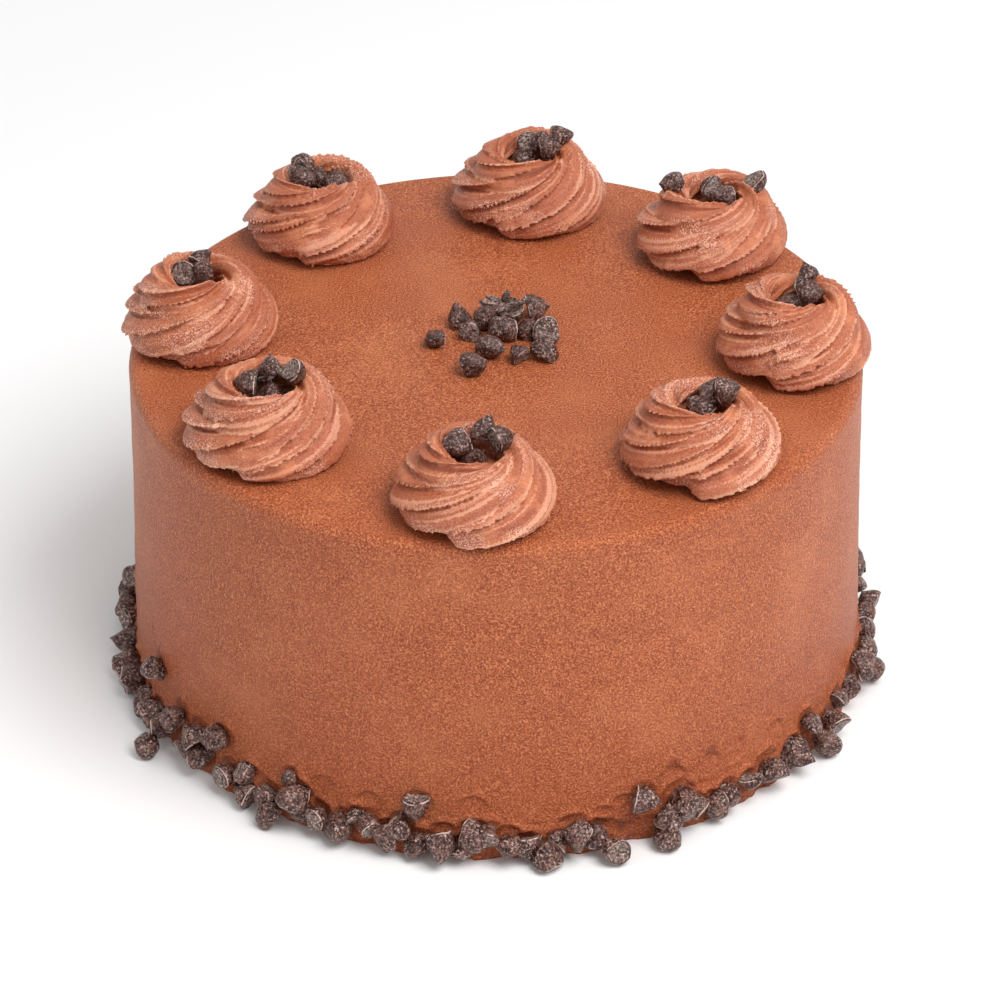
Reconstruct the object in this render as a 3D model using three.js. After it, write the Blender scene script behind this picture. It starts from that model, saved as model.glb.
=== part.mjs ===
// A round chocolate layer cake, iced all over. Eight piped rosettes stand round its top, each with a
// few chocolate chips in its hollow; a small heap of chips lies in the middle, and a border of chips
// is pressed into the icing round the foot. Millimetres, +Z up, origin at the middle of the underside.
import * as THREE from "three";

// The iced cake: a little wider at its foot than at its top.
const FOOT_RADIUS = 99;
const TOP_RADIUS = 96.2;
const CAKE_HEIGHT = 92.4;
const EDGE_ROUND = 3;
const EDGE_STEPS = 3;
const FOOT_FLARE = 1.2;
const FOOT_FLARE_HEIGHT = 7;
const CAKE_SIDES = 64;
// Clearance between two pieces that touch on the real cake.
const GAP = 0.3;

// A rosette: one swirl from a star nozzle, ROSETTE_RADIUS wide at its belly.
const ROSETTE_RADIUS = 20.4;
const ROSETTE_HEIGHT = 17.5;
const RIM_HEIGHT = ROSETTE_HEIGHT * 0.98;
const RIDGES = 7;
const RIDGE_DEPTH = 2.4;
const SWIRL_TURNS = 0.72;
const STEPS_PER_RIDGE = 4;
const ROSETTE_LEVELS = 8;
const MOST_TURNED_START = 9;
// Where each rosette was piped: by hand, so the ring is a little uneven.
const ROSETTES = [
  { azimuth: -94, ring: 77.5, size: 1.0 },
  { azimuth: -47, ring: 75.5, size: 1.0 },
  { azimuth: -5, ring: 78.0, size: 0.98 },
  { azimuth: 40, ring: 77.0, size: 1.01 },
  { azimuth: 83, ring: 75.0, size: 1.05 },
  { azimuth: 130, ring: 75.5, size: 1.01 },
  { azimuth: 176, ring: 78.0, size: 0.99 },
  { azimuth: -139.5, ring: 75.5, size: 1.03 },
];

// A chocolate chip: a drop with a flat base and a soft tip.
const CHIP_RADIUS = 4.2;
const CHIP_HEIGHT = 6.4;
const CHIP_SIDES = 8;

// The chips in a rosette's hollow, and how far they stand above its rim.
const HOLLOW_CHIPS = 4;
const HOLLOW_CHIPS_RISE = 3.2;

// The heap in the middle of the top, and the chips that rolled off it.
const HEAP = { x: 2.5, y: 5.5, radius: 12.5, height: 10, chips: 9 };
const STRAY_CHIPS = [
  { x: -16.5, y: -0.5, tip: 12, heading: 20 },
  { x: -6.5, y: -13.5, tip: 18, heading: 200 },
  { x: 6.5, y: -11.4, tip: 15, heading: 300 },
];
// The outer chips of a heap make this share of its width; each one is this many steps wide.
const LUMP_SHARE = 0.16;
const STEPS_PER_LUMP = 3;

// The border round the foot, in arcs that just miss each other.
const BORDER_ARCS = 12;
const CHIPS_PER_ARC = 7;
const STEPS_PER_CHIP = 3;
const ARC_END_GAP = 0.8;
// How small the band is between two of its chips.
const NECK = 0.72;

const icing = new THREE.MeshStandardMaterial({ color: 0xb87048, roughness: 0.55, metalness: 0 });
const pipedIcing = new THREE.MeshStandardMaterial({ color: 0xb46e50, roughness: 0.5, metalness: 0 });
const chocolate = new THREE.MeshStandardMaterial({ color: 0x4a3029, roughness: 0.4, metalness: 0 });

const radians = THREE.MathUtils.degToRad;
const FULL_TURN = Math.PI * 2;

// A repeatable uneven number from 0 to 1 for the nth thing.
function uneven(n) {
  const s = Math.sin(n * 12.9898 + 4.1414) * 43758.5453;
  return s - Math.floor(s);
}

function label(i) {
  return String(i + 1).padStart(2, "0");
}

function mesh(name, geometry, material, x = 0, y = 0, z = 0) {
  const made = new THREE.Mesh(geometry, material);
  made.name = name;
  made.position.set(x, y, z);
  return made;
}

// A point from its distance and direction from the Z axis.
function around(out, azimuth, z) {
  return new THREE.Vector3(out * Math.cos(azimuth), out * Math.sin(azimuth), z);
}

// LatheGeometry turns its profile round Y; this stands it up along Z.
function turned(profile, sides) {
  const points = profile.map(([r, z]) => new THREE.Vector2(r, z));
  return new THREE.LatheGeometry(points, sides).rotateX(Math.PI / 2);
}

// A closed skin over rings of points, from a point under the first ring to one over the last.
function ringed(foot, rings, peak) {
  const columns = rings[0].length;
  const points = [foot, ...rings.flat(), peak];
  const last = points.length - 1;
  const index = [];
  for (let column = 0; column < columns; column++) {
    const next = (column + 1) % columns;
    index.push(0, 1 + next, 1 + column);
    for (let ring = 0; ring < rings.length - 1; ring++) {
      const low = 1 + ring * columns;
      const high = low + columns;
      index.push(low + column, low + next, high + next);
      index.push(low + column, high + next, high + column);
    }
    index.push(last - columns + column, last - columns + next, last);
  }
  return new THREE.BufferGeometry().setFromPoints(points).setIndex(index);
}

// ---- The iced cake ----
function cakeGeometry() {
  const sideRadius = (z) => FOOT_RADIUS + ((TOP_RADIUS - FOOT_RADIUS) * z) / CAKE_HEIGHT;
  const bend = CAKE_HEIGHT - EDGE_ROUND;
  const profile = [
    [0, 0],
    [FOOT_RADIUS + FOOT_FLARE, 0],
    [FOOT_RADIUS + FOOT_FLARE, FOOT_FLARE_HEIGHT / 3],
    [sideRadius(FOOT_FLARE_HEIGHT), FOOT_FLARE_HEIGHT],
  ];
  for (let i = 0; i <= EDGE_STEPS; i++) {
    const a = (i / EDGE_STEPS) * (Math.PI / 2);
    const r = sideRadius(bend) - EDGE_ROUND * (1 - Math.cos(a));
    profile.push([r, bend + EDGE_ROUND * Math.sin(a)]);
  }
  profile.push([0, CAKE_HEIGHT]);
  return turned(profile, CAKE_SIDES);
}

// ---- Rosettes ----
// The swirl's outline from its foot, over its rim and down into its hollow, before the ridges:
// shares of its radius and of its height.
const outline = new THREE.SplineCurve(
  [
    [0.86, 0],
    [0.99, 0.2],
    [0.94, 0.52],
    [0.78, 0.84],
    [0.58, 0.98],
    [0.38, 0.76],
    [0, 0.62],
  ].map(([out, up]) => new THREE.Vector2(out * ROSETTE_RADIUS, up * ROSETTE_HEIGHT)),
);

// Sharp crests with round valleys between, as a star nozzle leaves them: 1 on a crest, 0 in a valley.
function crest(angle) {
  return 1 - Math.abs(Math.sin((angle * RIDGES) / 2));
}

// How far the crests stand above the valleys, `along` the outline: they are shallow at the foot and
// fade out again in the hollow.
function ridgeDepth(along) {
  const fromFoot = 0.45 + 2 * along;
  const toHollow = 2.2 * (1 - along);
  return RIDGE_DEPTH * Math.min(1, fromFoot, toHollow);
}

function rosetteGeometry(size, turn) {
  const columns = RIDGES * STEPS_PER_RIDGE;
  const rings = [];
  for (let level = 0; level < ROSETTE_LEVELS; level++) {
    const along = level / ROSETTE_LEVELS;
    const { x: out, y: up } = outline.getPoint(along);
    const ring = [];
    for (let column = 0; column < columns; column++) {
      const onStar = (column / columns) * FULL_TURN;
      const azimuth = onStar + turn + SWIRL_TURNS * FULL_TURN * along;
      const ridged = out + ridgeDepth(along) * (crest(onStar) - 0.5);
      ring.push(around(ridged, azimuth, up));
    }
    rings.push(ring);
  }
  const hollow = around(0, 0, outline.getPoint(1).y);
  return ringed(around(0, 0, 0), rings, hollow).scale(size, size, size);
}

// ---- Chocolate chips ----
// One ring of a heap's skin: it bulges out, and up by `rise`, where each of the outer chips lies.
function lumpyRing({ radius, z, rise = 0, chips, seed, shift = 0 }) {
  const columns = chips * STEPS_PER_LUMP;
  const ring = [];
  for (let column = 0; column < columns; column++) {
    const onChip = column % STEPS_PER_LUMP === 1;
    const lump = (onChip ? 1 : 0.35) + 0.4 * uneven(seed + column);
    const out = radius * (1 - LUMP_SHARE * (1 - lump));
    ring.push(around(out, ((column + shift) / columns) * FULL_TURN, z + rise * lump));
  }
  return ring;
}

// The chips in a rosette's hollow: their underside follows the hollow, just clear of its crests,
// and they spread over its rim.
function hollowChipsGeometry(size, seed) {
  const [deep, rim] = [ROSETTE_LEVELS - 1, ROSETTE_LEVELS - 2];
  const chips = HOLLOW_CHIPS;
  const rings = [deep, rim].map((level) => {
    const along = level / ROSETTE_LEVELS;
    const { x: out, y: up } = outline.getPoint(along);
    const crests = ridgeDepth(along) / 2;
    return lumpyRing({ radius: out - crests, z: up + crests + 2 * GAP, chips, seed });
  });
  const rimRadius = outline.getPoint(rim / ROSETTE_LEVELS).x;
  for (const { share, up } of [
    { share: 1.12, up: 0.2 },
    { share: 0.6, up: 0.85 },
  ]) {
    const z = RIM_HEIGHT + HOLLOW_CHIPS_RISE * up;
    rings.push(lumpyRing({ radius: rimRadius * share, z, rise: 0.8, chips, seed: seed + 30 }));
  }
  const foot = around(0, 0, outline.getPoint(1).y + 2 * GAP);
  const peak = around(0, 0, RIM_HEIGHT + HOLLOW_CHIPS_RISE);
  return ringed(foot, rings, peak).scale(size, size, size);
}

function middleHeapGeometry() {
  const { radius, height, chips } = HEAP;
  const rings = [
    { share: 0.9, up: 0, rise: 0 },
    { share: 1, up: 0.2, rise: 0.4 },
    { share: 0.78, up: 0.55, rise: 1.2 },
    { share: 0.4, up: 0.85, rise: 1.4 },
  ].map(({ share, up, rise }, i) =>
    lumpyRing({ radius: radius * share, z: height * up, rise, chips, seed: 500 + 40 * i, shift: i }),
  );
  return ringed(around(0, 0, 0), rings, around(0, 0, height));
}

function chipGeometry() {
  return turned(
    [
      [0, 0],
      [CHIP_RADIUS * 0.9, 0],
      [CHIP_RADIUS, CHIP_HEIGHT * 0.15],
      [CHIP_RADIUS * 0.6, CHIP_HEIGHT * 0.58],
      [0, CHIP_HEIGHT],
    ],
    CHIP_SIDES,
  );
}

// One arc of the border: a five-cornered section is carried round the foot, and swells at each chip.
function borderArcGeometry(arc) {
  const inner = FOOT_RADIUS + FOOT_FLARE + GAP;
  const span = FULL_TURN / BORDER_ARCS - ARC_END_GAP / inner;
  const steps = CHIPS_PER_ARC * STEPS_PER_CHIP;
  const sections = [];
  for (let i = 0; i <= steps; i++) {
    const azimuth = (arc * FULL_TURN) / BORDER_ARCS + (span * i) / steps;
    const seed = 700 + 50 * arc + Math.floor(i / STEPS_PER_CHIP);
    const swell = i % STEPS_PER_CHIP === 0 ? NECK : 1;
    const width = CHIP_RADIUS * 2 * swell * (0.85 + 0.3 * uneven(seed));
    const height = CHIP_HEIGHT * swell * (0.9 + 0.75 * uneven(seed + 25));
    sections.push([
      around(inner, azimuth, 0),
      around(inner + width * 0.92, azimuth, 0),
      around(inner + width, azimuth, height * 0.3),
      around(inner + width * 0.55, azimuth, height),
      around(inner, azimuth, height * 0.85),
    ]);
  }
  const corners = sections[0].length;
  const end = steps * corners;
  const index = [];
  for (let i = 0; i < steps; i++) {
    for (let corner = 0; corner < corners; corner++) {
      const a = i * corners + corner;
      const b = i * corners + ((corner + 1) % corners);
      index.push(a, a + corners, b + corners, a, b + corners, b);
    }
  }
  for (let corner = 1; corner < corners - 1; corner++) {
    index.push(0, corner, corner + 1);
    index.push(end, end + corner + 1, end + corner);
  }
  return new THREE.BufferGeometry().setFromPoints(sections.flat()).setIndex(index);
}

// ---- Putting the cake together ----
const cake = new THREE.Group();
cake.add(mesh("iced_cake", cakeGeometry(), icing));

const onTop = CAKE_HEIGHT + GAP;
ROSETTES.forEach(({ azimuth, ring, size }, i) => {
  const { x, y } = around(ring, radians(azimuth), 0);
  const swirl = rosetteGeometry(size, radians(MOST_TURNED_START * uneven(i + 7)));
  cake.add(mesh(`rosette_${label(i)}`, swirl, pipedIcing, x, y, onTop));
  const chips = hollowChipsGeometry(size, 300 + 10 * i);
  cake.add(mesh(`rosette_chips_${label(i)}`, chips, chocolate, x, y, onTop));
});

cake.add(mesh("middle_chips", middleHeapGeometry(), chocolate, HEAP.x, HEAP.y, onTop));
STRAY_CHIPS.forEach(({ x, y, tip, heading }, i) => {
  // Tipped onto the edge of its base, which then stays clear of the icing.
  const lift = CHIP_RADIUS * Math.sin(radians(tip));
  const chip = mesh(`stray_chip_${i + 1}`, chipGeometry(), chocolate, x, y, onTop + lift);
  chip.rotation.set(0, radians(tip), radians(heading), "ZYX");
  cake.add(chip);
});

for (let arc = 0; arc < BORDER_ARCS; arc++) {
  cake.add(mesh(`border_chips_${label(arc)}`, borderArcGeometry(arc), chocolate));
}

export default cake;
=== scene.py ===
# A round chocolate layer cake, uncut: iced all over, with eight piped rosettes round its top and
# chocolate chips on the rosettes, in the middle and round the foot. Metres, +Z up.
import math
import random

import bpy
import numpy as np
from mathutils import Matrix, Vector, noise
from mathutils.bvhtree import BVHTree
from mathutils.kdtree import KDTree


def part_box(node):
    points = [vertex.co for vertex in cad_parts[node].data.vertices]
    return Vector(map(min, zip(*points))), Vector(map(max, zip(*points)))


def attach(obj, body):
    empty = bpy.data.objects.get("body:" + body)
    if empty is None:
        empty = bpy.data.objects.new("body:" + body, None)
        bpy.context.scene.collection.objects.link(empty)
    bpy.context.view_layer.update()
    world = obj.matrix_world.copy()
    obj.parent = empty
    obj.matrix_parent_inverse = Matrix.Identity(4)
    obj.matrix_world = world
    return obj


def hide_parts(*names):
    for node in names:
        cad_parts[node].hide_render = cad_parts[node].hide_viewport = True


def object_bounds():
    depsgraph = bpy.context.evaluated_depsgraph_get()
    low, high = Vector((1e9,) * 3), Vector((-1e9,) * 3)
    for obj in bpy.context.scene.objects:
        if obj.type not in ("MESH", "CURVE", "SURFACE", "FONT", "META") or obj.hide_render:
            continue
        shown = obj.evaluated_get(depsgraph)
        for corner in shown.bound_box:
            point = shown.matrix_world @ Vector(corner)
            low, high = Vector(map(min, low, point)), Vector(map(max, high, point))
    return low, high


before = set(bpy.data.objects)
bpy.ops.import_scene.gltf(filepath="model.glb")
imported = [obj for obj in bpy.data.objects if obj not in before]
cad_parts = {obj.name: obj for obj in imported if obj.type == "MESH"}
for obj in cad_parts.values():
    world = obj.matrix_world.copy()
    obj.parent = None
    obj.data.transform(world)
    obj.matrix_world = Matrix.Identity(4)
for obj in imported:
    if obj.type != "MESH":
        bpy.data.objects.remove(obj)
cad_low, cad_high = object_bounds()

MM = 0.001

# ---- The view ----
# The cake is seen from the front and above, from about a metre away through a long lens, so its
# sides stay nearly upright.
cake_low, cake_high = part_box("iced_cake")
camera_height_angle = math.radians(33.3)
camera_distance = 1.02
camera_data = bpy.data.cameras.new("camera")
camera_data.lens = 136
camera_data.sensor_width = 36
camera_data.clip_end = 20
camera = bpy.data.objects.new("camera", camera_data)
bpy.context.collection.objects.link(camera)
looked_at = Vector((0.9 * MM, 0, 0.471 * cake_high.z))
backwards = Vector((0, -math.cos(camera_height_angle), math.sin(camera_height_angle)))
camera.location = looked_at + backwards * camera_distance
camera.rotation_euler = (-backwards).to_track_quat("-Z", "Y").to_euler()
bpy.context.scene.camera = camera
bpy.context.scene.view_settings.view_transform = "Standard"


# ---- The iced cake ----
# Layers of sponge, filled and covered with chocolate buttercream. The side and the top were drawn
# smooth with a long spatula, which leaves faint sweeps and a fine pitted skin; round the foot the
# icing is torn and pressed up where chips were pushed into it.
class Value:
    """One output of a shader node. Arithmetic on it adds Math nodes."""

    def __init__(self, finish, socket):
        self.finish, self.socket = finish, socket

    def maths(self, operation, *terms):
        return self.finish.node("ShaderNodeMath", {"operation": operation}, dict(enumerate(terms)))

    def __add__(self, other):
        return self.maths("ADD", self, other)

    def __sub__(self, other):
        return self.maths("SUBTRACT", self, other)

    def __rsub__(self, other):
        return self.maths("SUBTRACT", other, self)

    def __mul__(self, other):
        return self.maths("MULTIPLY", self, other)

    __radd__ = __add__
    __rmul__ = __mul__

    def above(self, start, end):
        """0 below start, 1 above end, and a smooth rise between them."""
        settings = {"interpolation_type": "SMOOTHSTEP"}
        sockets = {"Value": self, "From Min": start, "From Max": end}
        return self.finish.node("ShaderNodeMapRange", settings, sockets)


class Finish:
    """A material with one Principled surface, built up a node at a time."""

    def __init__(self, name, **constants):
        self.material = bpy.data.materials.new(name)
        self.material.use_nodes = True
        self.nodes = self.material.node_tree.nodes
        self.links = self.material.node_tree.links
        self.surface = self.nodes["Principled BSDF"]
        for socket, value in constants.items():
            self.surface.inputs[socket.replace("_", " ")].default_value = value

    def node(self, kind, settings, sockets, output=0):
        """A new node, set and joined up, as the Value at one of its outputs."""
        made = self.nodes.new(kind)
        for setting, value in settings.items():
            setattr(made, setting, value)
        for socket, value in sockets.items():
            if isinstance(value, Value):
                self.links.new(value.socket, made.inputs[socket])
            else:
                made.inputs[socket].default_value = value
        return Value(self, made.outputs[output])

    def place(self, scale=(1, 1, 1)):
        """The point on the piece, in metres times scale."""
        point = self.node("ShaderNodeTexCoord", {}, {}, "Object")
        if scale == (1, 1, 1):
            return point
        return self.node("ShaderNodeVectorMath", {"operation": "MULTIPLY"}, {0: point, 1: scale})

    def cloud(self, per_metre, detail=2, rough=0.5, at=None):
        """Soft uneven noise, per_metre lumps in a metre."""
        sockets = {
            "Vector": at or self.place(),
            "Scale": per_metre,
            "Detail": detail,
            "Roughness": rough,
        }
        return self.node("ShaderNodeTexNoise", {}, sockets)

    def blend(self, share, colour, other):
        """The colour, mixed with a share of the other."""

        def full(c):
            return c if isinstance(c, Value) else (*c, 1)

        sockets = {"Factor": share, 6: full(colour), 7: full(other)}
        return self.node("ShaderNodeMix", {"data_type": "RGBA"}, sockets, 2)

    def relief(self, height, depth, under=None):
        """A Bump normal: height from 0 to 1 stands for depth metres."""
        sockets = {"Strength": 1, "Distance": depth, "Height": height}
        if under:
            sockets["Normal"] = under
        return self.node("ShaderNodeBump", {}, sockets)

    def feeds(self, **sockets):
        """Joins each Value to the surface's socket of that name."""
        for socket, value in sockets.items():
            self.links.new(value.socket, self.surface.inputs[socket.replace("_", " ")])


def attribute(finish, name):
    """A number that the mesh carries at each of its points."""
    return finish.node("ShaderNodeAttribute", {"attribute_name": name}, {}, "Fac")


def add_piece(name, points, faces, material, slot, *nodes):
    """A smooth-shaded piece on the root, in place of the nodes."""
    mesh = bpy.data.meshes.new(name)
    mesh.from_pydata([tuple(p) for p in points], [], faces)
    mesh.shade_smooth()
    mesh.materials.append(material)
    piece = bpy.data.objects.new(name, mesh)
    bpy.context.collection.objects.link(piece)
    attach(piece, "root")
    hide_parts(*nodes)
    return piece


def smooth(value, start, end):
    """0 below start, 1 above end, and a smooth rise between them."""
    share = min(1, max(0, (value - start) / (end - start)))
    return share * share * (3 - 2 * share)


def lumps(x, y, z, per_metre):
    """Smooth noise about 0, per_metre lumps in a metre."""
    return noise.noise(Vector((x, y, z)) * per_metre)


icing = Finish("smoothed buttercream", Specular_IOR_Level=0.36)
milk_brown = (0.475, 0.12, 0.038)
red_brown = (0.27, 0.047, 0.013)
pale_brown = (0.78, 0.28, 0.12)
painted_shade_brown = (0.2, 0.036, 0.014)
fine = icing.cloud(2100, 2, 0.6)
patches = icing.cloud(45, 3, 0.55)
sweeps = icing.cloud(1, 3, 0.6, icing.place((10, 10, 190)))
torn_here = attribute(icing, "torn")
crease_shade_here = attribute(icing, "crease_shade")
skin = icing.blend(fine.above(0.38, 0.53), red_brown, milk_brown)
skin = icing.blend(fine.above(0.54, 0.66) * 0.75, skin, pale_brown)
skin = icing.blend(patches.above(0.45, 0.75) * 0.2, skin, pale_brown)
skin = icing.blend(sweeps.above(0.5, 0.75) * 0.16, skin, red_brown)
# Painted shade: the side is drawn darker and redder towards the foot.
height_up = icing.node("ShaderNodeSeparateXYZ", {}, {"Vector": icing.place()}, 2)
skin = icing.blend(height_up.above(0.06, 0.008) * 0.2, skin, red_brown)
skin = icing.blend(torn_here * 0.12, skin, red_brown)
# Painted shade: the creases of the torn foot and inside each pressed lip are darkened.
skin = icing.blend(crease_shade_here * 0.8, skin, painted_shade_brown)
grain = icing.relief(icing.cloud(2100, 2, 0.6), 0.7 * MM)
grain = icing.relief(sweeps, 0.25 * MM, grain)
grain = icing.relief(icing.cloud(330, 4, 0.7) * torn_here, 1.1 * MM, grain)
icing.feeds(Base_Color=skin, Roughness=0.36 + 0.16 * fine, Normal=grain)

cake_radius = cake_high.x
cake_height = cake_high.z
foot_radius = cake_radius - 1.2 * MM
top_radius = foot_radius - 2.8 * MM
edge_round = 3 * MM
DISC_SIDE = 200
CAKE_COLUMNS = 4 * DISC_SIDE
FOOT_BAND = 20 * MM
FOOT_ROW = 0.5 * MM
ROWS_ABOVE = 20
EDGE_STEPS = 8


def wall_radius(z):
    """How far the side stands out at height z."""
    return foot_radius + (top_radius - foot_radius) * z / cake_height


def wall_rows():
    """(radius, height, tilt of the skin from upright) of each row of the side and its round edge."""
    bend = cake_height - edge_round
    heights = [*np.arange(0, FOOT_BAND, FOOT_ROW), *np.linspace(FOOT_BAND, bend, ROWS_ABOVE)]
    rows = [(wall_radius(z), z, 0) for z in heights]
    for step in range(1, EDGE_STEPS + 1):
        tilt = step / EDGE_STEPS * math.pi / 2
        radius = wall_radius(bend) - edge_round * (1 - math.cos(tilt))
        rows.append((radius, bend + edge_round * math.sin(tilt), tilt))
    return rows


def drawn_skin(radius, a, z, tilt):
    """A point of the iced surface, with the waves and sweeps that the spatula left."""
    x, y = radius * math.cos(a), radius * math.sin(a)
    out = 0.5 * MM * lumps(x, y, z, 26)
    if tilt == 0:
        out += 0.14 * MM * lumps(x * 0.3, y * 0.3, z + 3 * MM * math.sin(3 * a), 210)
    level = radius + out * math.cos(tilt)
    return level * math.cos(a), level * math.sin(a), z + out * math.sin(tilt)


def cake_skin():
    """The whole iced skin: its underside, its side and edge, and its top."""
    rows = wall_rows()
    points, faces = [], []
    for radius, z, tilt in rows:
        for column in range(CAKE_COLUMNS):
            points.append(drawn_skin(radius, math.tau * column / CAKE_COLUMNS, z, tilt))
    for row in range(len(rows) - 1):
        for column in range(CAKE_COLUMNS):
            low = row * CAKE_COLUMNS + column
            right = row * CAKE_COLUMNS + (column + 1) % CAKE_COLUMNS
            faces.append((low, right, right + CAKE_COLUMNS, low + CAKE_COLUMNS))
    faces.append(tuple(reversed(range(CAKE_COLUMNS))))
    # The top is a grid of even squares, eased out to a disc whose rim is the wall's last row.
    rim_radius, rim_height, upright = rows[-1]
    last_row = (len(rows) - 1) * CAKE_COLUMNS
    index_at = {}
    for i in range(DISC_SIDE + 1):
        for j in range(DISC_SIDE + 1):
            across, along = 2 * i / DISC_SIDE - 1, 2 * j / DISC_SIDE - 1
            if abs(across) > abs(along):
                share, turn = across, math.pi / 4 * along / across
            else:
                share, turn = along, math.pi / 2 - (math.pi / 4 * across / along if along else 0)
            if i in (0, DISC_SIDE) or j in (0, DISC_SIDE):
                a = math.atan2(share * math.sin(turn), share * math.cos(turn))
                index_at[i, j] = last_row + round(a / math.tau * CAKE_COLUMNS) % CAKE_COLUMNS
            else:
                index_at[i, j] = len(points)
                a = turn if share > 0 else turn + math.pi
                points.append(drawn_skin(abs(share) * rim_radius, a, rim_height, upright))
    for i in range(DISC_SIDE):
        for j in range(DISC_SIDE):
            corners = (i, j), (i + 1, j), (i + 1, j + 1), (i, j + 1)
            faces.append(tuple(index_at[corner] for corner in corners))
    return points, faces


def float_layer(piece, name, values):
    """Gives the piece a number at each point, which its material reads."""
    layer = piece.data.attributes.new(name, "FLOAT", "POINT")
    layer.data.foreach_set("value", np.asarray(values, dtype=np.float32))


cake_points, cake_faces = cake_skin()
cake = add_piece("iced_skin", cake_points, cake_faces, icing.material, "icing", "iced_cake")


# ---- The rosettes ----
# Buttercream piped from a star nozzle held upright and carried a little over twice round as it rises
# and draws in. Each tooth leaves a sharp crest that climbs the side of the coil and turns over the
# rim into the hollow. The crests droop, and tear here and there as they leave the nozzle.
NOZZLE_TEETH = 7
COIL_TURNS = 2.34
# In mm: the coil's own radius, the bead's, how high the bead's middle runs, and what the upper loop
# draws in, is slimmer by and rises.
COIL_RADIUS, BEAD_RADIUS, FIRST_LEVEL = 13.8, 6.6, 5.7
DRAWN_IN, SLIMMER, RISE = 3.7, 1.9, 6.7
# How far each crest leans in over the coil, where between two crests the skin turns under, and how
# far a crest droops.
LEAN = 0.3
UNDERCUT_AT = 0.8
DROOP = 0.4
# As shares of the bead's radius, each with how much it drifts: how deep the grooves are, and how far
# a crest falls short. Then the height of the streaks that the nozzle left.
GROOVE, GROOVE_DRIFT = 0.49, 0.2
SHORT, SHORT_DRIFT = 0.05, 0.17
STREAK, FINE_STREAK = 0.045, 0.015
BEAD_STEPS = 600
BEAD_SIDES = 144
VOXEL = 0.45 * MM


def tooth_mark(share):
    """How far the bead stands out, from 0 to 1, between one crest (0) and the next one up (1)."""
    if share < UNDERCUT_AT:
        return (1 - share / UNDERCUT_AT) ** 1.3
    return ((share - UNDERCUT_AT) / (1 - UNDERCUT_AT)) ** 1.8


def bead(start, seed):
    """The coil as it leaves the nozzle: its points and faces, how near each point is to a crest, and
    the fine lines that the nozzle drew along it."""
    points, crests, lines = [], [], []
    for step in range(BEAD_STEPS + 1):
        loops = COIL_TURNS * step / BEAD_STEPS
        left = max(0, COIL_TURNS - loops)
        a = start + math.tau * loops
        wobble = noise.noise(Vector((seed * 7.3, loops * 3.4, 0)))
        # The upper loop draws in, and the end is lifted off towards the middle.
        gather = smooth(loops, 0.8, 1.6)
        lift = 1 - smooth(left, 0, 0.22)
        coil = MM * (COIL_RADIUS - DRAWN_IN * gather - 1.2 * lift + 0.6 * wobble)
        level = MM * (FIRST_LEVEL + RISE * smooth(loops, 0.82, 1.45) + 0.5 * lift + 0.4 * wobble)
        swell = min(1, (loops / 0.05) ** 0.5, (left / 0.16) ** 0.6)
        width = MM * (BEAD_RADIUS - SLIMMER * gather + 0.3 * wobble) * max(0.05, swell)
        for side in range(BEAD_SIDES):
            up = math.tau * side / BEAD_SIDES
            tooth = up - a
            round_tooth = Vector((math.cos(tooth), math.sin(tooth), 0))
            # The teeth wander a little round the bead, so no two grooves are alike.
            stray = noise.noise(round_tooth * 1.3 + Vector((seed * 5.1, 0, loops * 0.8)))
            lane = tooth / math.tau * NOZZLE_TEETH + 0.5 * stray
            share = lane % 1
            crest = tooth_mark(share)
            valley = math.floor(lane) % NOZZLE_TEETH
            ridge = valley if share < UNDERCUT_AT else (valley + 1) % NOZZLE_TEETH
            drift = noise.noise(Vector((valley * 3.7, seed * 1.9, loops * 1.3)))
            depth = GROOVE + GROOVE_DRIFT * drift
            drift = noise.noise(Vector((ridge * 2.9, seed * 2.3 + 40, loops * 1.7)))
            short = SHORT + SHORT_DRIFT * drift
            streak = noise.noise(round_tooth * 9 + Vector((0, 0, loops * 2.5 + seed)))
            finer = noise.noise(round_tooth * 20 + Vector((0, 9, loops * 5 + seed)))
            reach = 1 - depth * (1 - crest) - short * crest + STREAK * streak + FINE_STREAK * finer
            out = width * reach
            droop = up - DROOP * crest ** 1.5
            radius = coil + out * (math.cos(droop) - LEAN * math.sin(droop))
            z = max(level + out * math.sin(droop), -0.2 * MM)
            points.append((radius * math.cos(a), radius * math.sin(a), z))
            crests.append(crest)
            lines.append(0.5 + 0.5 * (streak + finer))
    faces = []
    for step in range(BEAD_STEPS):
        for side in range(BEAD_SIDES):
            low = step * BEAD_SIDES + side
            next_side = step * BEAD_SIDES + (side + 1) % BEAD_SIDES
            faces.append((low, low + BEAD_SIDES, next_side + BEAD_SIDES, next_side))
    faces.append(tuple(range(BEAD_SIDES)))
    faces.append(tuple(reversed(range(BEAD_STEPS * BEAD_SIDES, (BEAD_STEPS + 1) * BEAD_SIDES))))
    return points, faces, crests, lines


# The outline of the icing inside the coil: mm out from the middle and mm up.
MOUND = ((0, -0.2), (10, -0.2), (10, 5.5), (9.4, 8.4), (7, 10), (4, 10.8), (0, 11))
MOUND_SIDES = 32


def add_mound(points, faces, crests):
    """The icing in the middle, which the coil closes round."""
    first = len(points)
    for radius, z in MOUND[1:-1]:
        for side in range(MOUND_SIDES):
            a = math.tau * side / MOUND_SIDES
            points.append((radius * MM * math.cos(a), radius * MM * math.sin(a), z * MM))
    for ring in range(len(MOUND) - 3):
        for side in range(MOUND_SIDES):
            low = first + ring * MOUND_SIDES + side
            right = first + ring * MOUND_SIDES + (side + 1) % MOUND_SIDES
            faces.append((low, right, right + MOUND_SIDES, low + MOUND_SIDES))
    faces.append(tuple(reversed(range(first, first + MOUND_SIDES))))
    faces.append(tuple(range(len(points) - MOUND_SIDES, len(points))))
    crests.extend([0.2] * (len(points) - first))


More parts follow.
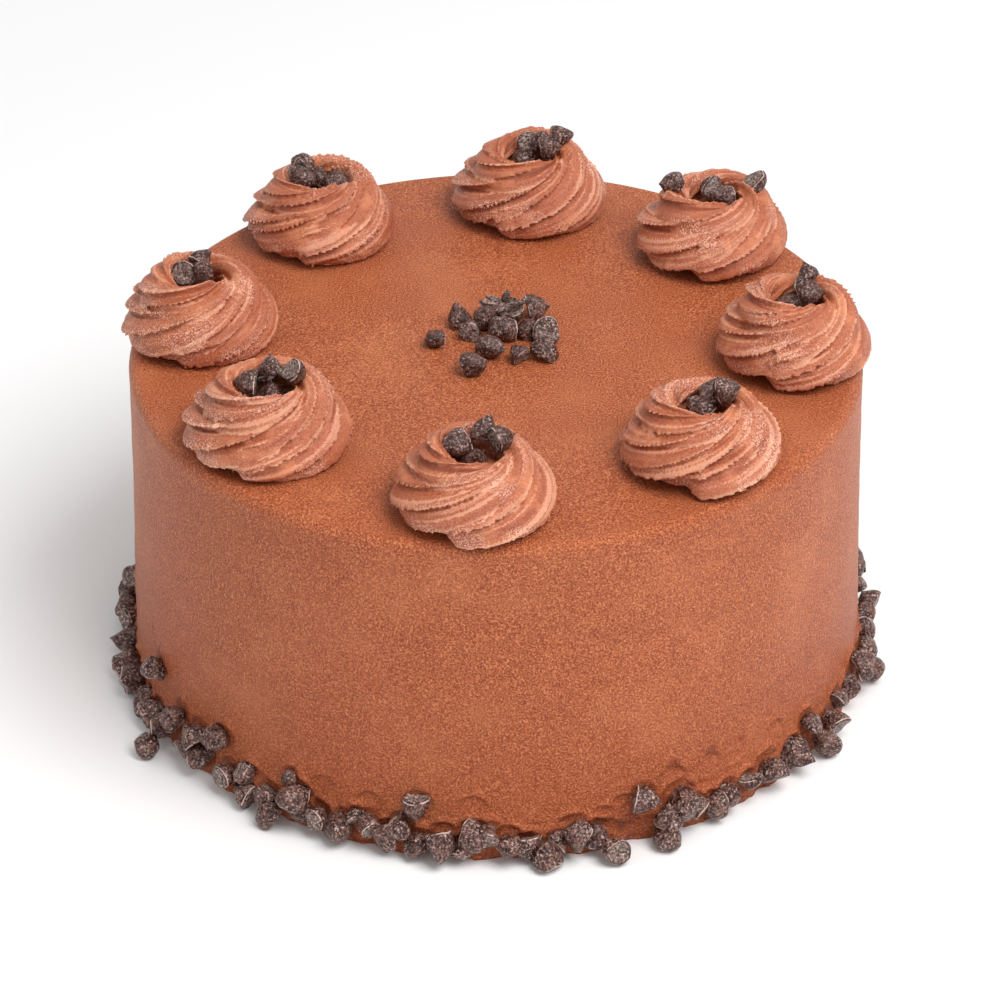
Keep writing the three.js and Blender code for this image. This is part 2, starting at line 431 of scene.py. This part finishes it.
def one_skin(points, faces):
    """The loops of a coil grown together into one closed skin: its points, normals and faces."""
    mesh = bpy.data.meshes.new("bead")
    mesh.from_pydata(points, [], faces)
    shape = bpy.data.objects.new("bead", mesh)
    bpy.context.collection.objects.link(shape)
    remesh = shape.modifiers.new("skin", "REMESH")
    remesh.mode = "VOXEL"
    remesh.voxel_size = VOXEL
    skinned = shape.evaluated_get(bpy.context.evaluated_depsgraph_get()).to_mesh()
    count = len(skinned.vertices)
    skin, normals = np.empty(count * 3), np.empty(count * 3)
    skinned.vertices.foreach_get("co", skin)
    skinned.vertices.foreach_get("normal", normals)
    skin_faces = [tuple(face.vertices) for face in skinned.polygons]
    bpy.data.objects.remove(shape)
    bpy.data.meshes.remove(mesh)
    return skin.reshape(-1, 3), normals.reshape(-1, 3), skin_faces


def rosette(start, seed):
    """One rosette about its own middle: its points and faces and, at each point, how near a crest
    is, how torn the skin is, and the nozzle's fine lines."""
    points, faces, crests, lines = bead(start, seed)
    add_mound(points, faces, crests)
    lines.extend([0.5] * (len(crests) - len(lines)))
    near = KDTree(len(points))
    for index, point in enumerate(points):
        near.insert(point, index)
    near.balance()
    skin, normals, skin_faces = one_skin(points, faces)
    nearest = [near.find(point)[1] for point in skin]
    crest = np.array([crests[index] for index in nearest])
    line = np.array([lines[index] for index in nearest])
    rough = np.array([lumps(*point, 620) + 0.7 * lumps(*point, 1250) for point in skin + seed])
    patch = np.array([smooth(lumps(*point, 75), -0.02, 0.3) for point in skin + seed * 2])
    low_down = np.array([smooth(point[2], 6 * MM, 2.5 * MM) for point in skin])
    torn_foot = np.array([smooth(lumps(*point, 90), -0.25, 0.1) for point in skin])
    patch = np.maximum(patch, low_down * torn_foot)
    torn = patch * np.maximum(crest, 0.6 * low_down)
    out = MM * rough * (0.03 + 0.06 * crest ** 2 + 0.34 * torn ** 1.5)
    return skin + normals * out[:, None], skin_faces, crest, torn, line


def fitted(points, low, high, floor, taller):
    """The points, scaled to fill the plan of a box, drawn taller, and stood on the floor."""
    least, most = points.min(axis=0), points.max(axis=0)
    scale = (high.x - low.x + high.y - low.y) / (most[0] - least[0] + most[1] - least[1])
    points = (points - (least + most) / 2) * scale
    points += ((low.x + high.x) / 2, (low.y + high.y) / 2, 0)
    points[:, 2] *= taller
    points[:, 2] += floor - points[:, 2].min() - 0.1 * MM
    return points


piped = Finish("piped buttercream", Specular_IOR_Level=0.45)
piped_brown = (0.475, 0.125, 0.049)
painted_streak_highlight = (0.9, 0.46, 0.3)
painted_crest_highlight = (0.9, 0.47, 0.3)
pale_speck = (0.9, 0.55, 0.42)
crest_here = attribute(piped, "crest")
tear_here = attribute(piped, "torn")
line_here = attribute(piped, "line")
speckle = piped.cloud(2300, 3, 0.7)
piped_skin = piped.blend(0.35 + 0.65 * speckle.above(0.36, 0.56), red_brown, piped_brown)
# Painted highlight on the raised nozzle streaks, and painted shade in the sunk ones.
piped_skin = piped.blend(line_here.above(0.58, 0.8) * 0.5, piped_skin, painted_streak_highlight)
piped_skin = piped.blend(line_here.above(0.42, 0.15) * 0.75, piped_skin, red_brown)
piped_skin = piped.blend(piped.cloud(110, 3, 0.6).above(0.48, 0.72) * 0.5, piped_skin, pale_brown)
flecks = (0.12 * crest_here + 0.95 * tear_here + 0.08) * piped.cloud(2600, 2, 0.6).above(0.48, 0.62)
piped_skin = piped.blend(flecks.maths("MINIMUM", flecks, 1) * 0.9, piped_skin, pale_speck)
# Painted highlight along the sharp crests.
piped_skin = piped.blend(crest_here.above(0.8, 0.97) * 0.6, piped_skin, painted_crest_highlight)
# Painted shade in the undercut grooves between the crests.
piped_skin = piped.blend((1 - crest_here).above(0.76, 0.98) * 0.8, piped_skin, painted_shade_brown)
# Stretched a little, so that the pits fall between the flecks.
bubbles = piped.cloud(1300, 2, 0.5, piped.place((1, 1, 1.01)))
# Painted shade: small pits in the torn skin are drawn as dark dots, with no hollow under them.
painted_pit_shade = tear_here.above(0.2, 0.6) * bubbles.above(0.62, 0.7)
piped_skin = piped.blend(painted_pit_shade * 0.8, piped_skin, painted_shade_brown)
piped_grain = piped.relief(piped.cloud(1900, 3, 0.7), 0.34 * MM)
piped.feeds(Base_Color=piped_skin, Roughness=0.32 + 0.2 * speckle, Normal=piped_grain)

# How much the nozzle drew each rosette upwards as it was lifted: some more than the usual.
USUAL_PULL = 1.05
PULL = {3: 1.14, 4: 1.08, 6: 1.13, 7: 1.12}
ROSETTES = 8
rosettes = []
for number in range(1, ROSETTES + 1):
    node = f"rosette_{number:02d}"
    low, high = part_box(node)
    # Each coil starts at the front left.
    start = math.radians(-118 + 14 * noise.noise(Vector((number * 3.1, 0.5, 0))))
    points, faces, crest, torn, line = rosette(start, number)
    points = fitted(points, low, high, cake_height, PULL.get(number, USUAL_PULL))
    piece = add_piece(f"piped_{node}", points, faces, piped.material, "piped_icing", node)
    float_layer(piece, "crest", crest)
    float_layer(piece, "torn", torn)
    float_layer(piece, "line", line)
    rosettes.append(((low + high) / 2, BVHTree.FromPolygons(points.tolist(), faces)))


# ---- The chips on the rosettes ----
# Drops of dark chocolate, 6 to 9 mm across, each with a flat rough base and a soft tip that curled
# over as it set. They lie in the hollow of each rosette, tips every way. Handling has dulled them.
CHIP_SIDES = 22
# Shares of the half width and of the height, from the middle of the base up to the tip.
CHIP_PROFILE = (
    (0, 0.045), (0.42, 0.035), (0.78, 0.0), (0.9, 0.0), (0.98, 0.05), (1, 0.14), (0.97, 0.27),
    (0.88, 0.42), (0.74, 0.56), (0.57, 0.68), (0.41, 0.78), (0.27, 0.86), (0.16, 0.92), (0.07, 0.975),
    (0, 1),
)
BASE_RINGS = 3
RIM_RING = 4
DENT = 0.17


def chip(width, seed):
    """One chip about its own middle, tip up: points, faces, and which points are base and rim."""
    draw = random.Random(seed)
    tall = width * draw.uniform(0.75, 1.1)
    fat = draw.uniform(0.8, 1.15)
    oval = draw.uniform(0.88, 1.04)
    curl = draw.uniform(0.02, 0.2) * width
    curl_to = draw.uniform(0, math.tau)
    dents = [Vector([draw.uniform(-1, 1) for _ in range(3)]).normalized() for _ in range(3)]
    dent_at = width * draw.uniform(0.32, 0.42)
    points, faces, base, rim = [], [], [], []
    for ring, (across, up) in enumerate(CHIP_PROFILE):
        radius = width / 2 * (across ** fat if up > 0.14 else across)
        sides = 1 if across == 0 else CHIP_SIDES
        for side in range(sides):
            a = math.tau * side / CHIP_SIDES
            x, y = radius * math.cos(a), radius * oval * math.sin(a)
            x += curl * up ** 3 * math.cos(curl_to)
            y += curl * up ** 3 * math.sin(curl_to)
            point = Vector((x, y, tall * (up - 0.4)))
            dent = 1.5 * noise.noise(point * 170 + Vector((seed * 3.3, 0, 0)))
            dent += 0.6 * noise.noise(point * 560 + Vector((0, seed * 1.7, 0)))
            point *= 1 + DENT * dent
            for flat in dents:
                point -= flat * max(0, point.dot(flat) - dent_at)
            points.append(tuple(point))
            base.append(ring < BASE_RINGS)
            rim.append(ring == RIM_RING)
    ring_starts = [0] + [1 + CHIP_SIDES * ring for ring in range(len(CHIP_PROFILE) - 1)]
    for ring in range(1, len(CHIP_PROFILE) - 2):
        low, high = ring_starts[ring], ring_starts[ring + 1]
        for side in range(CHIP_SIDES):
            right = (side + 1) % CHIP_SIDES
            faces.append((low + side, low + right, high + right, high + side))
    tip, last = len(points) - 1, ring_starts[-2]
    for side in range(CHIP_SIDES):
        right = (side + 1) % CHIP_SIDES
        faces.append((0, 1 + right, 1 + side))
        faces.append((last + side, last + right, tip))
    return np.array(points), faces, base, rim


def tipped(points, tip, roll):
    """The points, turned so that the chip's tip points along tip."""
    turn = Vector(tip).to_track_quat("Z", "Y").to_matrix() @ Matrix.Rotation(roll, 3, "Z")
    return points @ np.array(turn).T


# A chip sinks until this share of its skin, in per cent, is clear of what lies under it. No chip
# stands higher than HIGHEST_CHIP.
SETTLED = 95
HIGHEST_CHIP = cad_high.z + 3 * MM


def lowered(points, x, y, grounds, press):
    """The points, brought over (x, y) and down until they touch, then pressed in a little."""
    points = points + (x, y, 0)
    gaps = []
    for point in points:
        above = Vector((point[0], point[1], 1))
        hits = [ground.ray_cast(above, Vector((0, 0, -1)))[0] for ground in grounds]
        gaps.append(max(hit.z - point[2] for hit in hits if hit))
    return points + (0, 0, np.percentile(gaps, SETTLED) - press)


chocolate = Finish("dulled chocolate", Specular_IOR_Level=0.3)
dust_here = attribute(chocolate, "dust")
base_here = attribute(chocolate, "base")
rim_here = attribute(chocolate, "rim")
cocoa = (0.06, 0.019, 0.014)
bloom = (0.26, 0.135, 0.11)
pale_scuff_and_glint = (0.78, 0.59, 0.52)
dusty_base = (0.33, 0.24, 0.21)
near_black = (0.012, 0.004, 0.003)
blotches = chocolate.cloud(360, 4, 0.7)
scuffs = chocolate.cloud(1500, 3, 0.75)
scuffed = chocolate.cloud(260, 2, 0.6).above(0.4, 0.6)
chocolate_skin = chocolate.blend(blotches.above(0.38, 0.62) * dust_here, cocoa, bloom)
chocolate_skin = chocolate.blend(base_here * 0.55, chocolate_skin, dusty_base)
# Painted shade: near-black specks stand for small dark pits in the chocolate.
chocolate_skin = chocolate.blend(scuffs.above(0.52, 0.4) * 0.8, chocolate_skin, near_black)
# Pale scuff flecks, partly real wear and partly painted glints of light off the glossy chocolate.
dusted = 0.25 + 0.65 * dust_here + 0.2 * base_here
scuffs_and_glints = scuffs.above(0.55, 0.62) * (0.4 + 0.6 * scuffed) * dusted
chocolate_skin = chocolate.blend(scuffs_and_glints, chocolate_skin, pale_scuff_and_glint)
# Wear along the chip's rim, drawn pale also as a painted highlight along that edge.
rim_wear_and_highlight = rim_here.above(0.5, 1) * chocolate.cloud(420, 2, 0.5).above(0.38, 0.54)
chocolate_skin = chocolate.blend(rim_wear_and_highlight * 0.8, chocolate_skin, pale_scuff_and_glint)
chocolate_grain = chocolate.relief(chocolate.cloud(650, 3, 0.65), 0.75 * MM)
chocolate_grain = chocolate.relief(base_here * chocolate.cloud(1500, 2, 0.6), 0.35 * MM, chocolate_grain)
chocolate.feeds(Base_Color=chocolate_skin, Roughness=0.14 + 0.3 * blotches, Normal=chocolate_grain)


def pile(name, chips, dust, *nodes):
    """One piece of several placed chips, each (points, faces, base, rim), dusted by about dust."""
    points, faces, base, rim, dusts = [], [], [], [], []
    for chip_points, chip_faces, chip_base, chip_rim in chips:
        first = len(points)
        points.extend(chip_points.tolist())
        faces.extend(tuple(first + corner for corner in face) for face in chip_faces)
        base.extend(chip_base)
        rim.extend(chip_rim)
        shade = dust + 0.25 * noise.noise(Vector(chip_points[0] * 300))
        dusts.extend([shade] * len(chip_points))
    piece = add_piece(name, points, faces, chocolate.material, "chocolate", *nodes)
    float_layer(piece, "base", base)
    float_layer(piece, "rim", rim)
    float_layer(piece, "dust", dusts)


def stack(places, middle, ground, press, seed, size=0.92):
    """Chips laid one after another, each on what lies under it, none above HIGHEST_CHIP. Size scales
    the widths in the list of places."""
    grounds, laid = [ground], []
    for number, (x, y, width, tip) in enumerate(places):
        points, faces, base, rim = chip(size * width * MM, seed + number)
        points = tipped(points, tip, seed + number)
        points = lowered(points, middle.x + x * MM, middle.y + y * MM, grounds, press)
        points[:, 2] -= max(0, points[:, 2].max() - HIGHEST_CHIP)
        grounds.append(BVHTree.FromPolygons(points.tolist(), faces))
        laid.append((points, faces, base, rim))
    return laid


# Each chip: mm right and back of the rosette's middle, its width in mm, and where its tip points
# (right, back, up).
HOLLOW_CHIPS = {
    1: [(0.4, 0.4, 7.6, (0.2, -0.6, 0.7)), (-4.4, 3.8, 9, (-0.8, -0.5, 0.1)),
        (2.6, 6, 7, (0.3, 0.4, 0.8)), (6.8, 2.6, 8.4, (0.8, 0.5, 0.1))],
    2: [(-1.2, 1.8, 8.8, (-0.7, 0.1, 0.7)), (2.2, 3.6, 8, (0.3, 0.3, 0.8)),
        (6, 3.4, 6.6, (-0.3, 0.2, 0.9)), (6.6, -0.6, 7.6, (0.8, -0.3, 0.3))],
    3: [(0, 2.6, 7.8, (-0.75, -0.2, 0.5)), (3.8, 1.8, 9, (0.75, -0.5, 0.35)),
        (3.4, 6, 6.4, (-0.1, 0.7, 0.7))],
    4: [(-0.2, 4.6, 8, (-0.1, 0.8, -0.5)), (1.8, 0.2, 8.2, (-0.75, -0.5, 0.3)),
        (11.6, 4, 8.4, (0.5, 0.3, -0.7)), (-11.6, 3, 6.8, (-0.8, -0.4, 0.3))],
    5: [(-2, 1.6, 7.8, (-0.5, -0.5, 0.6)), (0.4, 5.6, 7.4, (0.1, 0.9, -0.4)),
        (3.2, 3, 6.6, (0.2, -0.2, 0.9)), (5.6, -1.2, 7.6, (0.9, -0.4, 0.3)),
        (8.6, 4, 7.4, (0.9, -0.2, 0.3))],
    6: [(-4.6, 0, 8.4, (0.9, -0.3, 0.25)), (5, 0.4, 8.8, (-0.6, -0.3, 0.6)),
        (0.4, 3.6, 7.2, (0.3, 0.2, 0.9)), (-4.2, 7, 7.8, (0.1, 0.95, 0.1))],
    7: [(-3.6, 2.8, 7.8, (0.2, 0.8, -0.4)), (1.4, 1.2, 7, (0.1, -0.5, 0.8)),
        (0.8, 5.2, 6.6, (0.5, 0.6, 0.5))],
    8: [(1.6, 0.4, 8.8, (0.1, -0.3, 0.9)), (-4.8, 2.6, 8.2, (-0.9, 0.1, 0.1)),
        (1, 5, 7.8, (0, 0.5, 0.8)), (7.8, 1, 8, (0.6, 0.4, -0.6))],
}
HOLLOW_PRESS = 1.8 * MM
for number, (middle, ground) in enumerate(rosettes, 1):
    chips = stack(HOLLOW_CHIPS[number], middle, ground, HOLLOW_PRESS, 40 * number, 0.94)
    pile(f"chips_on_rosette_{number:02d}", chips, 0.42, f"rosette_chips_{number:02d}")


# ---- The chips in the middle ----
# A loose handful of the same chips with a few broken shards of them at the back, and three chips
# that rolled off towards the front.
cake_top = BVHTree.FromPolygons(cake_points, cake_faces)
on_top = Vector((0, 0, 0))
TOP_PRESS = 0.3 * MM
# Each chip, as on the rosettes, from the middle of the cake.
HEAP_CHIPS = [
    (-10, 9.6, 7.6, (-0.3, 0.3, 0.9)),
    (7.7, 3.8, 8, (-0.35, -0.3, 0.9)),
    (0.6, 13, 7.4, (0.3, 0.2, 0.9)),
    (10.8, 14, 8.4, (0.95, 0.1, 0.2)),
    (-7.1, 3.2, 7.2, (0.1, 0.95, -0.12)),
    (13.1, 3, 8.8, (-0.12, 0.9, -0.3)),
    (-3, 8.6, 7.8, (0.2, -0.5, 0.8)),
    (4.2, 9.4, 7.4, (0.2, 0.1, -0.95)),
    (1.2, 2.4, 9, (-0.75, -0.5, 0.1)),
    (12.1, -6.6, 8.4, (-0.05, 0.1, 1)),
    (-1.7, -6.6, 8, (0.6, -0.6, 0.25)),
]
heap = stack(HEAP_CHIPS, on_top, cake_top, TOP_PRESS, 500)
heap_ground = BVHTree.FromPolygons(
    [point for chip_points, *_ in heap for point in chip_points.tolist()],
    [
        tuple(len(chip_points) * number + corner for corner in face)
        for number, (chip_points, faces, *_) in enumerate(heap)
        for face in faces
    ],
)
# Each shard: mm right and back, its length, and the way that its length points.
SHARDS = [
    (-1.8, 14.2, 6, (0.8, 0.1, 0.35)), (-2.4, 13.2, 5.4, (-0.7, 0.3, 0.4)),
    (-0.6, 15.8, 5.4, (-0.5, 0.3, 0.8)), (3.2, 15.6, 6.4, (0.6, 0.2, 0.7)),
    (6, 13.4, 5.2, (-0.4, 0.2, 0.9)), (2.6, 12.2, 6, (0.9, -0.3, 0.1)),
    (3.6, 8, 8.8, (0.95, -0.1, -0.12)),
]
SHARD_SHAPE = (1, 0.36, 0.2)
for number, (x, y, long, way) in enumerate(SHARDS):
    points, faces, base, rim = chip(long * MM, 700 + number)
    points = tipped(points * SHARD_SHAPE, (0, 1, 0.3), 0.4 * number)
    points = points @ np.array(Vector(way).to_track_quat("X", "Z").to_matrix()).T
    points = lowered(points, x * MM, y * MM, [cake_top, heap_ground], 0.4 * MM)
    heap.append((points, faces, [True] * len(base), rim))
pile("chips_in_middle", heap, 0.6, "middle_chips")
STRAYS = [
    (-16.8, -1.2, 7.2, (-0.8, -0.5, 0.25)),
    (-5.8, -15, 7.8, (0.7, -0.3, 0.35)),
    (5.9, -8.8, 7, (-0.5, 0.6, 0.4)),
]
for number, stray in enumerate(STRAYS, 1):
    chips = stack([stray], on_top, cake_top, TOP_PRESS, 800 + number)
    pile(f"stray_{number}", chips, 0.45, f"stray_chip_{number}")


# ---- The border of chips ----
# The same chips, pressed by hand into the soft icing round the foot: some stand, some lie on their
# side, some show their base, and here and there one sits above the others or has rolled away.
# Each chip: degrees round from the front, mm up, width in mm, where its tip points (out of the cake,
# to the right, up), and mm that it stands away from the icing.
FRONT_CHIPS = [
    (-78, 5, 8.6, (-0.7, 0.2, 0.6), 0), (-73, 5.5, 9, (-0.9, 0.3, 0.2), 0),
    (-68.5, 4.5, 8.4, (0.1, -0.8, 0.5), 0), (-64, 20, 8.4, (0.05, 0, 1), 0),
    (-64, 5, 9, (-0.8, 0.3, 0.5), 0), (-60, 6, 8.6, (-0.9, 0.4, 0.1), 0),
    (-58, 3.3, 7.6, (0.2, 0.8, 0.4), 7), (-56.5, 13, 7.6, (0.3, 0.2, 0.9), 0),
    (-54, 5, 7.4, (-0.5, 0.3, 0.6), 0), (-51.5, 12, 8, (0.2, -0.7, 0.7), 0),
    (-49.5, 7, 7.8, (-0.3, 0.8, 0.5), 0), (-45.5, 16, 7.4, (0.1, 0.9, 0.4), 0),
    (-44, 7, 7.4, (-0.95, 0, 0.1), 0), (-40, 9.5, 7.6, (-0.5, 0.5, -0.7), 0),
    (-40, 3.2, 7.6, (0.1, -1, 0.2), 0), (-36, 6.5, 7.8, (0.5, -0.2, -0.85), 0),
    (-32, 15, 5, (0.1, 0.2, 1), 0), (-34, 3, 8, (0.3, 0.3, 0.9), 2),
    (-31, 10.5, 9, (0.6, -0.5, 0.6), 0), (-30, 5, 7.8, (1, 0, 0.2), 0),
    (-27, 6, 7.6, (-1, 0, -0.1), 0), (-23, 5, 8.2, (0.8, 0.3, 0.4), 0),
    (-21, 9, 5.6, (-0.6, -0.5, 0.6), 0), (-19, 7.5, 7.2, (-0.6, -0.7, 0.3), 0),
    (-16, 5.5, 8.2, (0.3, -0.8, 0.5), 0), (-14, 9, 7.4, (0.5, 0.8, -0.3), 0),
    (-11.2, 4.4, 8.2, (0.2, 0.4, 0.9), 0), (-11.5, 16, 8, (0.25, 0.1, -1), 0),
    (-7.6, 6.3, 9.4, (0.6, 0.25, -0.75), 0), (-3.2, 8.5, 8.8, (0.6, 0.8, 0), 0),
    (-4.6, 4, 7, (-0.7, 0.2, 0.5), 0), (-1.4, 8.4, 7.4, (-1, 0, 0.2), 0),
    (1.8, 6, 8.2, (0.2, 0.35, 0.9), 0), (4.5, 4.4, 8.2, (0.5, 0.1, -0.85), 0),
    (7.2, 4, 8.4, (-0.2, -0.05, 1), 3), (9, 5.5, 6.4, (-0.5, 0.5, 0.6), 0),
    (11.4, 8, 9, (0, -0.85, 0.45), 0), (14.5, 6, 7.8, (0.1, 0, 1), 0),
    (16.6, 4, 8, (-1, 0, -0.25), 4), (22, 14.5, 8, (0.4, 0.85, -0.1), 0),
    (24.4, 4, 9, (0.5, -0.2, 0.8), 3), (25.2, 9, 7.8, (0.1, 0.15, 1), 2),
    (28, 11, 9.6, (0.7, -0.2, 0.6), 0), (30.4, 6.5, 7.6, (-0.6, -0.5, 0.5), 0),
    (33.4, 5, 8.4, (0.1, -1, 0.1), 0), (36.6, 6, 8.2, (0.9, 0.2, 0.3), 0),
    (40.5, 7, 6.8, (0.2, 0.1, -0.9), 0), (45, 7.6, 9, (0.25, -0.3, 0.9), 0),
    (51, 6.5, 9.2, (1, 0, 0.2), 0), (55, 12, 7.2, (0.3, 0.1, 0.9), 0),
    (56.6, 4.5, 8.4, (0.1, -0.9, 0.3), 2), (61.5, 5.5, 8, (-0.8, 0.4, 0.3), 0),
    (65, 8.5, 6.8, (0.2, 0.9, 0.3), 0), (69.5, 7.6, 7.8, (-0.5, -0.6, 0.5), 0),
    (74, 9.4, 9.4, (0.7, 0.3, 0.5), 0), (77, 4.5, 7.8, (0.6, -0.5, 0.5), 3),
    (82, 5, 8.4, (0.3, 0.8, 0.5), 0),
]
LAST_FRONT_CHIP = FRONT_CHIPS[-1][0]
FIRST_FRONT_CHIP = FRONT_CHIPS[0][0] + 360
# The back border ends this many degrees before the first chip of the list, and this share of its
# chips carry a second one.
LAST_GAP = 6
SECOND_ON_TOP = 0.18
border_draws = random.Random(12)


def back_chips():
    """The rest of the border, laid chip after chip with a second one on top now and then."""
    drawn = border_draws.uniform
    chips, azimuth = [], LAST_FRONT_CHIP
    while azimuth < FIRST_FRONT_CHIP - LAST_GAP:
        width = drawn(7, 9.2)
        azimuth += math.degrees(width * MM / foot_radius) * drawn(0.7, 1.02)
        tip = (drawn(-1, 1), drawn(-1, 1), drawn(-0.5, 1.2))
        away = border_draws.choice((0, 0, 0, 0, 2, 3))
        chips.append((azimuth, drawn(4, 7), width, tip, away))
        if border_draws.random() < SECOND_ON_TOP:
            tip = (drawn(-1, 1), drawn(-1, 1), drawn(-1, 1))
            chips.append((azimuth - 1.5, drawn(11, 15), drawn(6.5, 8), tip, 0))
    return chips


PRESSED_IN = 1.3 * MM
BORDER_SIZE = 0.94
ARCS = 12
border_arcs = [[] for _ in range(ARCS)]
# What presses the icing: its angle round, its height, half its width, and whether a chip fills it.
presses = []
for number, (degrees, up, width, tip, away) in enumerate(FRONT_CHIPS + back_chips()):
    a = math.radians(degrees - 90)
    outwards = Vector((math.cos(a), math.sin(a), 0))
    rightwards = Vector((-math.sin(a), math.cos(a), 0))
    points, faces, base, rim = chip(BORDER_SIZE * width * MM, 900 + number)
    points = tipped(points, tip, number)
    z = points[:, 2] + max(up * MM, -points[:, 2].min())
    touching = (wall_radius(z) - points[:, 0]).max()
    stand = touching - PRESSED_IN + away * MM
    placed = np.outer(stand + points[:, 0], outwards) + np.outer(points[:, 1], rightwards)
    placed[:, 2] = z
    border_arcs[int(a % math.tau / math.tau * ARCS)].append((placed, faces, base, rim))
    if away < 2:
        presses.append((a, z.mean(), width * MM / 2, True))

for number, arc in enumerate(border_arcs, 1):
    pile(f"border_of_chips_{number:02d}", arc, 0.72, f"border_chips_{number:02d}")


# ---- The pressed icing at the foot ----
# Pushing the chips in raised a lip of icing round each one and tore the skin between them. Chips
# that were pulled off again left round marks above the border.
# Each mark: degrees round from the front, mm up, and its width in mm.
RING_MARKS = [
    (-19, 12.5, 8), (-3.5, 14.5, 9), (19.2, 12, 8), (20.4, 9, 8), (16, 10, 7),
    (33.5, 16.5, 8), (38.2, 17.5, 8.5), (27, 16, 9), (-66, 27, 8), (-26.5, 14.5, 7),
    (47, 15, 9),
]
BACK_MARKS = 16
ring_draws = random.Random(5)
for _ in range(BACK_MARKS):
    mark = (ring_draws.uniform(85, 275), ring_draws.uniform(11, 17), ring_draws.uniform(7, 9))
    RING_MARKS.append(mark)
for degrees, up, width in RING_MARKS:
    presses.append((math.radians(degrees - 90), up * MM, width * MM / 2, False))

LIP = 0.75 * MM
# The band that is shaped: the fine rows at the foot and three of the wider rows above them.
foot_rows = len(np.arange(0, FOOT_BAND, FOOT_ROW)) + 3
moves = np.zeros(len(cake_points))
tears = np.zeros(len(cake_points))
crease_shades = np.zeros(len(cake_points))
foot_points = foot_rows * CAKE_COLUMNS
# The lowest few millimetres are torn to a ragged height, and bulge where they meet the floor.
for index in range(foot_points):
    x, y, z = cake_points[index]
    ragged = 7 * MM + 5 * MM * lumps(x, y, 0, 55)
    torn = 1 - smooth(z, ragged, ragged + 4 * MM)
    ridge = 1 - abs(lumps(x, y, z, 190)) * 2.6
    moves[index] = torn * MM * (0.9 * ridge - 0.4 + 0.5 * lumps(x, y, z, 420))
    moves[index] += MM * 1.3 * (1 - smooth(z, 1 * MM, 4.5 * MM)) * (0.4 + lumps(x, y, z, 120))
    tears[index] = torn
    # Painted shade along the creases of the torn band, used for the colour only.
    crease_shades[index] = torn * (1 - smooth(abs(lumps(x, y, z, 230)), 0, 0.09))
near_foot = KDTree(foot_points)
for index in range(foot_points):
    near_foot.insert(cake_points[index], index)
near_foot.balance()
# Each press raises a broken lip round itself, higher above it than below, with a crease inside it that
# is darkened as painted shade.
for a, z, half, filled in presses:
    middle = Vector((wall_radius(z) * math.cos(a), wall_radius(z) * math.sin(a), z))
    for point, index, away in near_foot.find_range(middle, half + 3.5 * MM):
        above = (point.z - z) / max(away, MM)
        edge = away - half * (1.04 if filled else 1)
        ragged = 0.6 + 0.9 * lumps(*point, 260)
        lip = math.exp(-(edge / (0.8 * MM if filled else 0.5 * MM)) ** 2) * ragged
        lip *= 0.35 + 0.65 * max(0, above)
        hollow = (1 - smooth(edge, -0.9 * MM, 0.1 * MM)) * (0.3 + 0.5 * max(0, above))
        moves[index] += LIP * (1.3 * lip if filled else 0.8 * lip - hollow)
        inner = math.exp(-((edge + 0.5 * MM) / (0.45 * MM)) ** 2)
        crease_shades[index] = max(crease_shades[index], inner * (0.5 if filled else 0.75 * max(0, above)))
        tears[index] = max(tears[index], 0.7 * lip)
smoothed = np.array(cake_points)
across = np.maximum(np.hypot(smoothed[:, 0], smoothed[:, 1]), MM)
pressed = smoothed.copy()
pressed[:, 0] += moves * smoothed[:, 0] / across
pressed[:, 1] += moves * smoothed[:, 1] / across
cake.data.vertices.foreach_set("co", pressed.ravel())
float_layer(cake, "torn", np.clip(tears, 0, 1))
float_layer(cake, "crease_shade", np.clip(crease_shades, 0, 1))


# ---- Floor and light ----
# A pale matt floor that runs out of sight, under an even white sky, and one wide soft lamp that hangs
# above the cake to its front right.
FLOOR_HALF = 3
floor_corners = [
    (-FLOOR_HALF, -FLOOR_HALF, 0),
    (FLOOR_HALF, -FLOOR_HALF, 0),
    (FLOOR_HALF, FLOOR_HALF, 0),
    (-FLOOR_HALF, FLOOR_HALF, 0),
]
floor_mesh = bpy.data.meshes.new("floor")
floor_mesh.from_pydata(floor_corners, [], [(0, 1, 2, 3)])
floor = bpy.data.objects.new("floor", floor_mesh)
bpy.context.collection.objects.link(floor)
pale = Finish("pale floor", Base_Color=(0.9, 0.9, 0.9, 1), Roughness=0.8)
floor_mesh.materials.append(pale.material)

world = bpy.data.worlds.new("studio")
world.use_nodes = True
sky = world.node_tree.nodes["Background"]
sky.inputs["Color"].default_value = (1, 1, 1, 1)
sky.inputs["Strength"].default_value = 0.68
bpy.context.scene.world = world

lamp_data = bpy.data.lights.new("key", "AREA")
lamp_data.size = 0.75
lamp_data.energy = 14
lamp = bpy.data.objects.new("key", lamp_data)
lamp.location = (0.5, -0.46, 1.12)
lamp.rotation_euler = (looked_at - lamp.location).to_track_quat("-Z", "Y").to_euler()
bpy.context.collection.objects.link(lamp)
